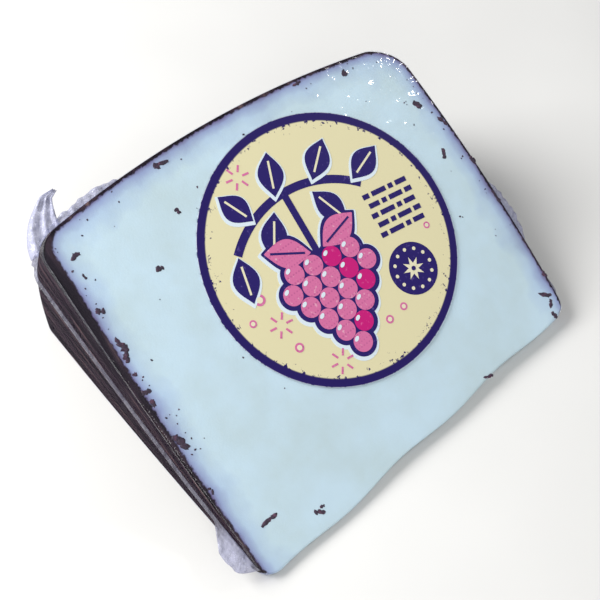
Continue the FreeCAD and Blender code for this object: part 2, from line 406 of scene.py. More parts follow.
# %% Wrap the seam round the slice
seam = bmesh.new()
slack_and_shade = seam.verts.layers.float.new("slack_and_shade")
bmesh.ops.create_grid(seam, x_segments=SEAM_CELLS[0], y_segments=SEAM_CELLS[1], size=1.0)
for vert in seam.verts:
    run, out = (vert.co.x + 1) / 2, (vert.co.y + 1) / 2
    stretch, place, (rho, y) = wall_place(min(run, LAST_RUN))
    _, _, (rho_before, y_before) = wall_place(max(run - LOOK_ASIDE, 0.0))
    _, _, (rho_after, y_after) = wall_place(min(run + LOOK_ASIDE, LAST_RUN))
    tangent = Vector((rho_after - rho_before, y_after - y_before, 0)).normalized()
    ends = min(1.0, run / TAPER, (1 - run) / TAPER)
    width = seam_width(stretch, place) * ends
    loose = max(0.0, min(1.0, (width - 1.2) / 2))
    # The stored number is the slack, cut down on the +Y side as painted shade for the fin.
    vert[slack_and_shade] = loose * SLACK_AND_SHADE_SHARE[stretch]
    fray = FRAY * loose * noise.noise(Vector((rho / FRAY_LENGTH, y / FRAY_LENGTH, 3)))
    away = out * width * (1 + fray) - SEAM_ROOT
    crinkle = noise.noise(Vector((rho / CRINKLE_LENGTH, y / CRINKLE_LENGTH, 2 * out)))
    lift = CRINKLE * loose * out * crinkle + CURL * max(0.0, width - 1.5) / 3 * out ** 2
    if stretch == "plus":
        lift += FIN_RISE * max(0.0, min(1.0, (FIN_FROM - rho) / (FIN_FROM - FIN_TO)))
    vert.co = seam_point(rho - tangent.y * away, y + tangent.x * away, lift)

# %% [markdown]
# ### The ear
#
# The ear is a second grid, bent along a curve through three points as a pen tool would draw it. It
# narrows to its tip, hooks over there, and its lengthwise folds fade towards the tip as well.

# %% Grow the ear at the corner of the heel
EAR_ROOT, EAR_BEND, EAR_TIP = Vector((81.0, 39.6)), Vector((87.2, 38.6)), Vector((92.3, 32.2))
EAR_ROOT_WIDTH, EAR_TIP_WIDTH = 8.4, 0.9
HOOK, HOOK_FROM = 1.1, 0.86
FOLD, CRUMPLE, CRUMPLE_LENGTH, EAR_LIFT = 0.75, 0.5, 1.7, 1.2
ear = bmesh.new()
ear_slack_and_shade = ear.verts.layers.float.new("slack_and_shade")
bmesh.ops.create_grid(ear, x_segments=30, y_segments=12, size=1.0)
for vert in ear.verts:
    vert[ear_slack_and_shade] = 1.0
    out, over = (vert.co.x + 1) / 2, vert.co.y
    to_bend, to_tip = EAR_ROOT.lerp(EAR_BEND, out), EAR_BEND.lerp(EAR_TIP, out)
    spine = to_bend.lerp(to_tip, out)
    heading = (to_tip - to_bend).normalized()
    width = EAR_ROOT_WIDTH + (EAR_TIP_WIDTH - EAR_ROOT_WIDTH) * out ** 1.5
    offset = over * width / 2
    hook = HOOK * max(0.0, out - HOOK_FROM) / (1 - HOOK_FROM)
    rho = spine.x + heading.y * offset - hook
    y = spine.y - heading.x * offset - hook / 2
    folds = FOLD * math.sin(2.6 * math.pi * over + 1.4 * out) * (1 - 0.6 * out)
    crumple = CRUMPLE * noise.noise(Vector((rho / CRUMPLE_LENGTH, y / CRUMPLE_LENGTH, 7)))
    vert.co = seam_point(rho, y, folds + crumple + EAR_LIFT * out ** 2)
print("ear reaches", round(EAR_TIP.x - heel_at(0), 1), "mm past the heel")

# %% Join the ear to the seam and give the film its thickness
merge(seam, ear)
bmesh.ops.recalc_face_normals(seam, faces=seam.faces)
bmesh.ops.solidify(seam, geom=seam.faces, thickness=SEAM_THICKNESS * MM)
welded_edge = finish_piece("welded_edge", seam)
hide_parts("film_flange")

# %% [markdown]
# ## Crumbs of rind
#
# The knife dragged flakes of the dark rind over the paste, and the film pressed them flat. Each
# crumb is a few flat chips that overlap, because a single smooth pebble would look like a seed.
# The large ones have their own places, and a long one stays straight because it is a splinter. The
# smallest are scattered beside the rind by a seeded random draw, so every run gives the same crumbs.

# %% Where the large crumbs lie
CRUMBS = (
    # distance from the axis, place along it, length, width and turn in degrees of each crumb
    (81.5, 15.0, 3.2, 1.6, 80), (72.0, 17.5, 1.3, 1.0, 30), (64.5, 27.0, 1.6, 1.3, 60),
    (75.0, 39.3, 2.1, 1.1, 100), (77.5, -31.0, 1.5, 1.7, 20), (81.0, -20.0, 1.9, 1.0, 90),
    (63.5, -41.8, 2.4, 1.6, 35), (57.5, -45.0, 2.4, 1.0, 5), (51.5, -40.5, 2.2, 1.2, 150),
    (46.5, -45.8, 2.2, 1.2, 10), (37.0, -45.8, 3.4, 1.0, 0), (16.5, -45.2, 1.6, 1.0, 20),
    (13.0, -42.3, 3.2, 1.1, 50), (10.5, -42.3, 1.9, 1.1, 120), (8.0, -41.5, 2.0, 1.0, 0),
    (64.0, 41.3, 2.0, 1.3, 40), (56.5, 41.6, 3.0, 1.6, 10), (54.0, 42.2, 2.6, 1.5, 160),
    (46.5, 42.8, 1.8, 1.2, 70), (44.0, 43.0, 1.8, 1.1, 20), (35.0, 42.8, 3.2, 2.2, 15),
    (12.8, 37.4, 3.5, 1.15, 92), (7.8, 28.3, 2.1, 1.0, 50), (8.2, 27.2, 1.2, 0.8, 105),
    (6.9, -19.2, 2.2, 1.0, 80), (71.0, 40.0, 1.0, 0.7, 0), (50.5, 42.6, 1.2, 0.8, 45),
    (24.0, 43.3, 1.6, 0.8, 5),
)
print(len(CRUMBS), "large crumbs")

# %% Shape one flake
CRUMB_THICKNESS = 0.16
BREAKAGE, BREAKAGE_SCALE = 0.75, 4.3


def on_paste(rho, y):
    """A place on the upper cut face, on the surface of the paste."""
    inward = Vector((math.sin(WEDGE_ANGLE), 0, -math.cos(WEDGE_ANGLE)))
    sunk = FILM_GAP - paste_relief(rho, y, 0.5)
    return wheel_point(rho, y, WEDGE_ANGLE) + inward * sunk * MM


def cut_face_axes(turn):
    """The upper cut face's own axes: up the slope, along the wheel's axis and out of the face."""
    slope = Matrix.Rotation(-WEDGE_ANGLE, 4, "Y")
    return slope @ Matrix.Rotation(math.radians(turn), 4, "Z")


def add_chip(made, rho, y, length, width, turn, detail):
    """One flat flake with a broken outline; its place picks the noise, so no two are alike."""
    chip = bmesh.ops.create_icosphere(made, subdivisions=detail, radius=0.5)["verts"]
    for vert in chip:
        rough = 1 + BREAKAGE * noise.noise(vert.co * BREAKAGE_SCALE + Vector((rho, y, turn)))
        vert.co = Vector((vert.co.x * length * rough, vert.co.y * width * rough,
                          vert.co.z * CRUMB_THICKNESS)) * MM
    bmesh.ops.transform(made, matrix=cut_face_axes(turn), verts=chip)
    bmesh.ops.translate(made, vec=on_paste(rho, y), verts=chip)


# %% Build the large crumbs from flakes
CHIPS_IN_CRUMB = 3
draw = random.Random(7)
crumbs = bmesh.new()
for rho, y, length, width, turn in CRUMBS:
    splinter = length > 2.5 * width
    swing, stray = (4, 0.06) if splinter else (50, 0.22)
    for chip in range(CHIPS_IN_CRUMB):
        slide = (chip - 1) * length * 0.3
        chip_rho = rho + slide * math.cos(math.radians(turn)) + draw.uniform(-stray, stray)
        chip_y = y + slide * math.sin(math.radians(turn)) + draw.uniform(-stray, stray)
        size = draw.uniform(0.42, 0.62)
        add_chip(crumbs, chip_rho, chip_y, length * size, width * draw.uniform(0.5, 0.95),
                 turn + draw.uniform(-swing, swing), 2)
print(len(crumbs.faces), "faces in the large crumbs")

# %% Scatter the specks
SPECKS = 90
PLUS_EDGE, MINUS_EDGE = 43.6, -45.0
SPECKS_FALL = {"plus": 0.7, "minus": 0.5, "heel": 0.35}  # how fast they thin out, per millimetre
for _ in range(SPECKS):
    side = draw.choice(("plus", "plus", "minus", "heel", "anywhere"))
    rho, y = draw.uniform(28, 78), draw.uniform(-42, 42)
    if side == "plus":
        y = PLUS_EDGE - plus_rind_width(rho) - draw.expovariate(SPECKS_FALL[side])
    elif side == "minus":
        y = MINUS_EDGE + draw.expovariate(SPECKS_FALL[side])
    elif side == "heel":
        rho = heel_at(y / HALF_HEIGHT) - 1 - draw.expovariate(SPECKS_FALL[side])
    size = draw.uniform(0.22, 0.6)
    turn = draw.uniform(0, 180)
    on_cut_face = rind_distance(rho, y) > 0.5
    if on_cut_face:
        add_chip(crumbs, rho, y, size, size * 0.75, turn, 1)
rind_crumbs = finish_piece("rind_crumbs", crumbs)

# %% [markdown]
# ## The print on the label
#
# The paper disc comes from the CAD part and keeps its shape. Its ring and cream field are painted
# by its material. The motif is a plain vine: an arched branch with leaves, a bunch of grapes, a
# dark badge, a few sparks and some rows of dashes. Each ink is one piece of thin flat shapes,
# because edges cut in mesh stay sharp at any distance, where a painted pattern would blur. A pale
# ink lies under the dark outlines and leaves a bright rim round them, as a printed halo does.

# %% Lay out the label
LABEL_REACH, LABEL_OFFSET, LABEL_RADIUS, PAPER = 48.6, -5.8, 28.8, 0.2
LABEL_TURN = -8.0
INK_LAYER, INK_STEP = 0.03, 0.00001
LABEL_MIDDLE = wheel_point(LABEL_REACH, LABEL_OFFSET, WEDGE_ANGLE)
FACE_OUT = Vector((-math.sin(WEDGE_ANGLE), 0, math.cos(WEDGE_ANGLE)))


def label_matrix():
    """Takes a drawing in millimetres, right and up on the label, to its place on the paper."""
    right, up = Vector((0, -1, 0)), Vector((math.cos(WEDGE_ANGLE), 0, math.sin(WEDGE_ANGLE)))
    axes = Matrix((right, up, FACE_OUT)).transposed().to_4x4()
    move = Matrix.Translation(LABEL_MIDDLE + FACE_OUT * PAPER * MM)
    turn = Matrix.Rotation(math.radians(LABEL_TURN), 4, "Z")
    return move @ axes @ turn @ Matrix.Scale(MM, 4)


print("label's middle", [round(place / MM, 1) for place in LABEL_MIDDLE], "mm")

# %% Shapes of ink


def ink_height(made, layer):
    """Each shape lies a hair above the one before it, so that no two faces coincide."""
    return (layer + 0.5) * INK_LAYER + INK_STEP * len(made.faces)


def ink_disc(made, x, y, width, height=None, turn=0.0, layer=0, pinch=0.0, sides=40):
    """A flat disc or oval of ink; pinch draws its two ends out to points, as on a leaf."""
    shape = bmesh.ops.create_cone(made, cap_ends=True, segments=sides, radius1=0.5, radius2=0.5,
                                  depth=INK_LAYER)["verts"]
    for vert in shape:
        narrow = 1 - pinch * (2 * vert.co.x) ** 2
        vert.co.x *= width
        vert.co.y *= (height or width) * narrow
    bmesh.ops.rotate(made, matrix=Matrix.Rotation(math.radians(turn), 3, "Z"), verts=shape)
    bmesh.ops.translate(made, vec=(x, y, ink_height(made, layer)), verts=shape)


def ink_bar(made, x, y, width, height, turn=0.0, layer=0):
    """A flat bar of ink."""
    shape = bmesh.ops.create_cube(made, size=1.0)["verts"]
    bmesh.ops.scale(made, vec=(width, height, INK_LAYER), verts=shape)
    bmesh.ops.rotate(made, matrix=Matrix.Rotation(math.radians(turn), 3, "Z"), verts=shape)
    bmesh.ops.translate(made, vec=(x, y, ink_height(made, layer)), verts=shape)


def on_arc(radius, degrees, middle):
    """The point of a circle at that many degrees from its right."""
    angle = math.radians(degrees)
    return middle[0] + radius * math.cos(angle), middle[1] + radius * math.sin(angle)


def ink_band(made, middle, radius, width, start, stop, layer=0):
    """A curved stroke of even width, as of a broad pen: a row of quads bent round an arc."""
    stroke = bmesh.new()
    bmesh.ops.create_grid(stroke, x_segments=1, y_segments=32, size=0.5)
    underside = ink_height(made, layer) - INK_LAYER / 2
    for vert in stroke.verts:
        degrees = start + (vert.co.y + 0.5) * (stop - start)
        x, y = on_arc(radius + vert.co.x * width, degrees, middle)
        vert.co = (x, y, underside)
    bmesh.ops.recalc_face_normals(stroke, faces=stroke.faces)
    bmesh.ops.solidify(stroke, geom=stroke.faces, thickness=INK_LAYER)
    merge(made, stroke)


# %% Draw the bunch of grapes
pale, indigo, rose, magenta, cream = (bmesh.new() for _ in range(5))
HALO_X, HALO_Y = -0.2, -0.3  # the pale ink was printed a hair out of place
VEIN = 0.45
GRAPE, GRAPE_ACROSS, GRAPE_DOWN = 5.0, 4.6, 3.7
BUNCH = (-3.5, -1.5)
grapes = []
for row, count in enumerate((4, 5, 4, 3, 2, 1)):
    for step in range(count):
        grapes.append((BUNCH[0] + (step - (count - 1) / 2) * GRAPE_ACROSS,
                       BUNCH[1] - row * GRAPE_DOWN))
for x, y in grapes:
    ink_disc(pale, x + HALO_X, y + HALO_Y, GRAPE + 2.2)
    ink_disc(indigo, x, y, GRAPE + 1.2, layer=1)
for number, (x, y) in enumerate(grapes):
    ink_disc(magenta if number % 5 == 2 else rose, x, y, GRAPE - 0.7, layer=2)
    ink_disc(pale, x - 1.0, y + 1.1, 1.3, 0.8, 35, layer=3)
print(len(grapes), "grapes")

# %% Draw the branch and its leaves
BRANCH = (-2.0, -9.0)
LEAVES = (
    # middle, length and turn in degrees of each leaf on the branch
    (-20.2, 1.6, 9.6, 82), (-15.4, 15.4, 8.6, 122), (-10.6, 7.2, 10.0, 62),
    (-5.2, 18.8, 9.4, 74), (3.6, 8.0, 9.4, -62), (5.8, 17.8, 9.4, 48), (15.2, 13.2, 9.4, 28),
)
ink_band(indigo, BRANCH, 23.5, 1.8, 52, 138, layer=1)
for x, y, length, turn in LEAVES:
    ink_disc(pale, x + HALO_X, y + HALO_Y, length + 1.2, 6.6, turn, pinch=0.8)
    ink_disc(indigo, x, y, length, 5.6, turn, layer=1, pinch=0.85)
    ink_bar(cream, x, y, length * 0.62, VEIN, turn, layer=2)
ink_bar(indigo, BUNCH[0] - 0.6, BUNCH[1] + 8.8, 1.5, 14.0, 4, layer=1)
for lean in (-1, 1):
    x, y = BUNCH[0] + lean * 6.2, BUNCH[1] + 4.4
    ink_disc(pale, x + HALO_X, y + HALO_Y, 12.6, 8.6, 22 * lean, pinch=0.7)
    ink_disc(indigo, x, y, 11.4, 7.6, 22 * lean, layer=1, pinch=0.75)
    ink_disc(rose, x, y, 10.0, 6.0, 22 * lean, layer=2, pinch=0.75)
    ink_bar(indigo, x, y, 7.5, VEIN, 22 * lean, layer=3)
print(len(LEAVES) + 2, "leaves")

# %% Draw the badge
BADGE = (14.5, -11.5)
ink_disc(indigo, *BADGE, 11.4)
for step in range(12):
    ink_disc(cream, *on_arc(4.3, 30 * step, BADGE), 0.8, layer=1, sides=12)
for turn in (0, 45, 90, 135):
    ink_disc(cream, *BADGE, 5.2, 1.1, turn, layer=1, pinch=0.95)
ink_disc(indigo, *BADGE, 1.0, layer=2)
print("badge lies at", BADGE)

# %% Draw the dashes
DASHES_LEFT, DASHES_TOP, DASH_ROW, DASH_GAP = 11.2, 6.4, 2.2, 0.7
for row in range(5):
    left = DASHES_LEFT + 0.5 * (row % 2)
    for dash in (2.6, 1.2, 3.4, 1.8) if row % 2 else (1.6, 3.6, 1.2, 2.8):
        ink_bar(indigo, left + dash / 2, DASHES_TOP - DASH_ROW * row, dash, DASH_ROW / 2)
        left += dash + DASH_GAP
print("rows of dashes start at", DASHES_LEFT, DASHES_TOP)

# %% Draw the rings and the sparks
RINGS = (
    # middle and size of each ring
    (-19.5, -3.0, 2.4), (-16.5, -15.0, 2.0), (8.4, -17.6, 1.7), (-23.0, -6.6, 1.6),
    (4.2, -18.6, 1.8), (22.0, -4.6, 1.5),
)
SPARKS = ((-17.8, -9.4), (-12.0, 21.0), (-9.5, -21.5))
for x, y, size in RINGS:
    ink_disc(rose, x, y, size)
    ink_disc(cream, x, y, size * 0.55, layer=1)
for middle in SPARKS:
    for ray in range(6):
        ink_bar(rose, *on_arc(1.9, 60 * ray, middle), 1.5, VEIN, 60 * ray)
print(len(RINGS), "rings and", len(SPARKS), "sparks")

# %% Lay the inks on the paper
INKS = {"pale": pale, "indigo": indigo, "rose": rose, "magenta": magenta, "cream": cream}
PRINTED = {}
for name, made in INKS.items():
    bmesh.ops.transform(made, matrix=label_matrix(), verts=made.verts)
    PRINTED[name] = finish_piece(f"label_print_{name}", made, smooth=False)

# %% [markdown]
# ## Materials
#
# One function turns an sRGB hex colour into the linear numbers that Blender mixes, and one adds a
# node with its settings and links. Patterns read Object coordinates turned into millimetres, so a
# noise scale of 1 means one feature per millimetre.

# %% Helpers for materials


def linear(code):
    """Turns an sRGB hex colour into linear numbers, with an alpha of 1."""
    channels = [int(code[place:place + 2], 16) / 255 for place in (1, 3, 5)]
    light = [c / 12.92 if c <= 0.04045 else ((c + 0.055) / 1.055) ** 2.4 for c in channels]
    return (*light, 1.0)


def add(material, kind, links=(), **settings):
    """Adds a node. A setting named in_... fills a socket, and links joins sockets to outputs.

    Sockets go by name or number. A Math node's numbers are 0, 1 and 2. A Mix node's factor is 0,
    its two numbers are 2 and 3, and its two colours are 6 and 7.
    """
    node = material.node_tree.nodes.new(kind)
    for name, value in settings.items():
        if name.startswith("in_"):
            key = name[3:].replace("_", " ")
            node.inputs[int(key) if key.isdigit() else key].default_value = value
        else:
            setattr(node, name, value)
    for socket, source in dict(links).items():
        material.node_tree.links.new(source, node.inputs[socket])
    return node


def new_material(name):
    """An empty material that is ready for nodes."""
    material = bpy.data.materials.new(name)
    material.use_nodes = True
    material.node_tree.nodes.clear()
    return material


def set_ramp(ramp, stops):
    """Sets a colour ramp's stops, as pairs of place and hex colour."""
    elements = ramp.color_ramp.elements
    while len(elements) < len(stops):
        elements.new(0.5)
    for element, (place, code) in zip(elements, stops):
        element.position = place
        element.color = linear(code)
    return ramp


def in_millimetres(material, stretch=(1.0, 1.0, 1.0)):
    """Object coordinates in millimetres, stretched along an axis where stretch is below 1."""
    place = add(material, "ShaderNodeTexCoord")
    mapping = add(material, "ShaderNodeMapping", {"Vector": place.outputs["Object"]},
                  in_Scale=[share / MM for share in stretch])
    return mapping.outputs["Vector"]


def give(piece, material):
    """Puts the material on the piece in place of any other."""
    piece.data.materials.clear()
    piece.data.materials.append(material)
    print(piece.name, "is", material.name)


# %% [markdown]
# ### Goat cheese with a wine-washed rind
#
# The paste is dense and even, with a soft waxy depth, so it gets a little subsurface scattering.
# The wine soaks in from the rind: a skin of plum black, then a thin purple line, then a lavender
# bloom that fades over a few millimetres. The stored depth drives all three, with noise to make
# the border wander. The rind kept the marks of its mould as fine lines that run out from the
# wheel's axis. The film lies on the paste and has the reflections, so the paste itself has none.

# %% The paste and its stain of wine
STAIN_REACH = 7
WANDER, WANDERS_PER_MM = 1.3, 1.1
CLOUD_SWING, CLOUD_LEAST, CLOUDS_PER_MM = 1.6, 0.3, 0.16  # clouds about 6 mm across
MOTTLES_PER_MM = 0.07  # patches about 14 mm across
paste = new_material("goat_cheese_cut_and_wine_washed")
depth = add(paste, "ShaderNodeAttribute", attribute_name="rind_depth")
grain = add(paste, "ShaderNodeAttribute", attribute_name="rind_grain")
millimetres = in_millimetres(paste)
wander = add(paste, "ShaderNodeTexNoise", {"Vector": millimetres}, in_Scale=WANDERS_PER_MM,
             in_Detail=6.0)
bloom = add(paste, "ShaderNodeTexNoise", {"Vector": millimetres}, in_Scale=CLOUDS_PER_MM,
            in_Detail=3.0)
shift = add(paste, "ShaderNodeMath", {0: wander.outputs["Fac"]}, operation="MULTIPLY_ADD",
            in_1=WANDER, in_2=-WANDER / 2)
depth_now = add(paste, "ShaderNodeMath", {0: depth.outputs["Fac"], 1: shift.outputs[0]},
                operation="ADD")
fade = add(paste, "ShaderNodeMath", {0: bloom.outputs["Fac"]}, operation="MULTIPLY_ADD",
           in_1=CLOUD_SWING, in_2=CLOUD_LEAST)
soak = add(paste, "ShaderNodeMath", {0: depth.outputs["Fac"], 1: fade.outputs[0]},
           operation="MULTIPLY")
soaked = add(paste, "ShaderNodeMath", {0: soak.outputs[0]}, operation="MULTIPLY",
             in_1=1 / STAIN_REACH)
bloom_colour = set_ramp(add(paste, "ShaderNodeValToRGB", {"Fac": soaked.outputs[0]}),
                        ((0.0, "#3f2c50"), (0.10, "#6f668e"), (0.22, "#9aa7c8"), (0.5, "#bbd0e0"),
                         (1.0, "#cbe0e6")))
mottle = add(paste, "ShaderNodeTexNoise", {"Vector": millimetres}, in_Scale=MOTTLES_PER_MM,
             in_Detail=5.0, in_Roughness=0.6)
mottle_colour = set_ramp(add(paste, "ShaderNodeValToRGB", {"Fac": mottle.outputs["Fac"]}),
                         ((0.32, "#f7f5ef"), (0.62, "#ffffff")))
paste_colour = add(paste, "ShaderNodeMix",
                   {6: bloom_colour.outputs["Color"], 7: mottle_colour.outputs["Color"]},
                   data_type="RGBA", blend_type="MULTIPLY", in_0=1.0)
print("stain fades over about", STAIN_REACH, "mm")

# %% The rind and its fine lines
LINES_PER_MM = (0.05, 0.3, 0.9)
lines = add(paste, "ShaderNodeMapping", {"Vector": grain.outputs["Vector"]},
            in_Scale=LINES_PER_MM)
streaks = add(paste, "ShaderNodeTexNoise", {"Vector": lines.outputs["Vector"]}, in_Scale=1.0,
              in_Detail=3.0, in_Roughness=0.6)
rind_colour = set_ramp(add(paste, "ShaderNodeValToRGB", {"Fac": streaks.outputs["Fac"]}),
                       ((0.30, "#0f0a12"), (0.50, "#1e1620"), (0.63, "#382a33"), (0.77, "#7a615c")))
print("lines in the rind are about", 1 / LINES_PER_MM[0], "mm long")

# %% Paste inside, rind outside
RIND_EDGE, PASTE_EDGE = 0.60, 0.85  # depths where the rind ends and the paste begins
RIND_ROUGHNESS, PASTE_ROUGHNESS = 0.62, 0.42
PORES_PER_MM, PORE_DEPTH = 2.2, 0.08
BUMP_HEIGHT = 0.4 * MM
edge = set_ramp(add(paste, "ShaderNodeValToRGB", {"Fac": depth_now.outputs[0]}),
                ((RIND_EDGE, "#000000"), (PASTE_EDGE, "#ffffff")))
skin_colour = add(paste, "ShaderNodeMix",
                  {0: edge.outputs["Color"], 6: rind_colour.outputs["Color"],
                   7: paste_colour.outputs[2]}, data_type="RGBA")
roughness = add(paste, "ShaderNodeMapRange", {"Value": edge.outputs["Color"]},
                in_To_Min=RIND_ROUGHNESS, in_To_Max=PASTE_ROUGHNESS)
pores = add(paste, "ShaderNodeTexNoise", {"Vector": millimetres}, in_Scale=PORES_PER_MM,
            in_Detail=3.0)
weak_pores = add(paste, "ShaderNodeMath", {0: pores.outputs["Fac"]}, operation="MULTIPLY",
                 in_1=PORE_DEPTH)
relief_mix = add(paste, "ShaderNodeMix",
                 {0: edge.outputs["Color"], 2: streaks.outputs["Fac"], 3: weak_pores.outputs[0]},
                 data_type="FLOAT")
bumps = add(paste, "ShaderNodeBump", {"Height": relief_mix.outputs[0]}, in_Strength=0.8,
            in_Distance=BUMP_HEIGHT)
skin = add(paste, "ShaderNodeBsdfPrincipled",
           {"Base Color": skin_colour.outputs[2], "Roughness": roughness.outputs["Result"],
            "Normal": bumps.outputs["Normal"]},
           in_IOR=1.45, in_Specular_IOR_Level=0.0, in_Subsurface_Weight=0.1,
           in_Subsurface_Scale=0.002, in_Subsurface_Radius=(1.0, 0.9, 0.8))
add(paste, "ShaderNodeOutputMaterial", {"Surface": skin.outputs[0]})
give(cheese, paste)

# %% [markdown]
# ### Crumbs of the same rind
#
# The crumbs are the rind broken small, so they are plum black with a few paler, browner faces where
# the film presses on them.

# %% Crumb material
GRIT_PER_MM = 1.1
crumb = new_material("wine_washed_rind_crumbled")
crumb_noise = add(crumb, "ShaderNodeTexNoise", {"Vector": in_millimetres(crumb)},
                  in_Scale=GRIT_PER_MM, in_Detail=4.0)
crumb_colour = set_ramp(add(crumb, "ShaderNodeValToRGB", {"Fac": crumb_noise.outputs["Fac"]}),
                        ((0.3, "#1b0d24"), (0.55, "#351832"), (0.72, "#683a50")))
crumb_skin = add(crumb, "ShaderNodeBsdfPrincipled", {"Base Color": crumb_colour.outputs["Color"]},
                 in_Roughness=0.55)
add(crumb, "ShaderNodeOutputMaterial", {"Surface": crumb_skin.outputs[0]})
give(rind_crumbs, crumb)

# %% [markdown]
# ### Clear shrink film
#
# The film is polyethylene, blown thin and shrunk with heat. Light passes straight through it, so it
# is mostly a Transparent shader, and it mirrors lamps and sky weakly, more at grazing angles. A
# Fresnel node is the usual choice for that. This skin has no thickness, though, and the node would
# take light on its way out for light inside solid plastic, mirror much of it back and darken the
# cheese. The Facing output of a Layer Weight node, raised to a power, treats both sides alike.
# Faint bumps break up the reflections. Over the rough rind the film is duller, so that the dark
# colour below it shows.

# %% Film on the cheese
RIPPLES_PER_MM = 0.35  # stretch marks about 3 mm apart, and twice as long
EDGE_POWER, EDGE_SHINE, FACE_SHINE = 4.5, 0.4, 0.04
SHINE_OVER_RIND = 0.1
FILM_ROUGHNESS, FILM_ROUGHNESS_OVER_RIND = 0.09, 0.3
clear = new_material("polyethylene_film_shrunk")
stretched = in_millimetres(clear, (1.0, 0.45, 1.0))
stretch_noise = add(clear, "ShaderNodeTexNoise", {"Vector": stretched}, in_Scale=RIPPLES_PER_MM,
                    in_Detail=3.0)
clear_bumps = add(clear, "ShaderNodeBump", {"Height": stretch_noise.outputs["Fac"]},
                  in_Strength=0.35, in_Distance=0.5 * MM)
grazing = add(clear, "ShaderNodeLayerWeight", {"Normal": clear_bumps.outputs["Normal"]},
              in_Blend=0.5)
steep = add(clear, "ShaderNodeMath", {0: grazing.outputs["Facing"]}, operation="POWER",
            in_1=EDGE_POWER)
shine = add(clear, "ShaderNodeMath", {0: steep.outputs[0]}, operation="MULTIPLY_ADD",
            in_1=EDGE_SHINE, in_2=FACE_SHINE)
cover = add(clear, "ShaderNodeAttribute", attribute_name="over_rind")
kept = add(clear, "ShaderNodeMapRange", {"Value": cover.outputs["Fac"]}, in_To_Min=1.0,
           in_To_Max=SHINE_OVER_RIND)
facing = add(clear, "ShaderNodeMath", {0: shine.outputs[0], 1: kept.outputs["Result"]},
             operation="MULTIPLY")
film_roughness = add(clear, "ShaderNodeMapRange", {"Value": cover.outputs["Fac"]},
                     in_To_Min=FILM_ROUGHNESS, in_To_Max=FILM_ROUGHNESS_OVER_RIND)
through = add(clear, "ShaderNodeBsdfTransparent", in_Color=linear("#fbfcff"))
mirror = add(clear, "ShaderNodeBsdfAnisotropic",
             {"Normal": clear_bumps.outputs["Normal"], "Roughness": film_roughness.outputs["Result"]},
             in_Color=linear("#ffffff"))
clear_mix = add(clear, "ShaderNodeMixShader", {0: facing.outputs[0], 1: through.outputs[0],
                                               2: mirror.outputs[0]})
add(clear, "ShaderNodeOutputMaterial", {"Surface": clear_mix.outputs[0]})
give(film, clear)

# %% [markdown]
# ### Welded film
#
# Where two layers are welded and crumpled, the film scatters some light and looks milky, with a
# lilac cast, and its folds catch small bright glints. It is a mix of clear film and a smooth pale
# plastic, and noise decides how much of each shows. The tight bead is greyer than the loose ear and
# flap, and the stored number picks between the two colours. It is the slack, cut down on the +Y
# side, so the greyer colour of the fin there is painted shade.

# %% Film at the seam
MILK_PER_MM, CREASES_PER_MM = 0.6, 1.3
MILK_LEAST, MILK_MOST = 0.25, 0.8
milky = new_material("polyethylene_film_welded")
cloud = add(milky, "ShaderNodeTexNoise", {"Vector": in_millimetres(milky)},
            in_Scale=MILK_PER_MM, in_Detail=4.0)
milkiness = add(milky, "ShaderNodeMapRange", {"Value": cloud.outputs["Fac"]}, in_From_Min=0.3,
                in_From_Max=0.7, in_To_Min=MILK_LEAST, in_To_Max=MILK_MOST)
creases = add(milky, "ShaderNodeTexNoise", {"Vector": in_millimetres(milky)},
              in_Scale=CREASES_PER_MM, in_Detail=2.0)
milky_bumps = add(milky, "ShaderNodeBump", {"Height": creases.outputs["Fac"]}, in_Strength=0.5,
                  in_Distance=0.6 * MM)
slack_and_shade_here = add(milky, "ShaderNodeAttribute", attribute_name="slack_and_shade")
# On the fin at +Y the stored number is cut down, so its greyer colour from this ramp is painted
# shade.
milk_and_shade_colour = set_ramp(add(milky, "ShaderNodeValToRGB", {"Fac": slack_and_shade_here.outputs["Fac"]}),
                       ((0.0, "#8d8b94"), (0.5, "#b9bacf")))
plastic = add(milky, "ShaderNodeBsdfPrincipled",
              {"Base Color": milk_and_shade_colour.outputs["Color"], "Normal": milky_bumps.outputs["Normal"]},
              in_Roughness=0.16, in_IOR=1.5)
milky_clear = add(milky, "ShaderNodeBsdfTransparent", in_Color=linear("#f4f5ff"))
milky_mix = add(milky, "ShaderNodeMixShader", {0: milkiness.outputs["Result"],
                                               1: milky_clear.outputs[0], 2: plastic.outputs[0]})
add(milky, "ShaderNodeOutputMaterial", {"Surface": milky_mix.outputs[0]})
give(welded_edge, milky)

# %% [markdown]
# ### Coated label paper
#
# The paper is clay-coated and printed all over: a cream field inside a dark ring, with bare pale
# paper only on its cut rim. The distance from the label's middle picks the colour, and specks of
# dark ink along the inside of the ring give it a worn, stamped look.

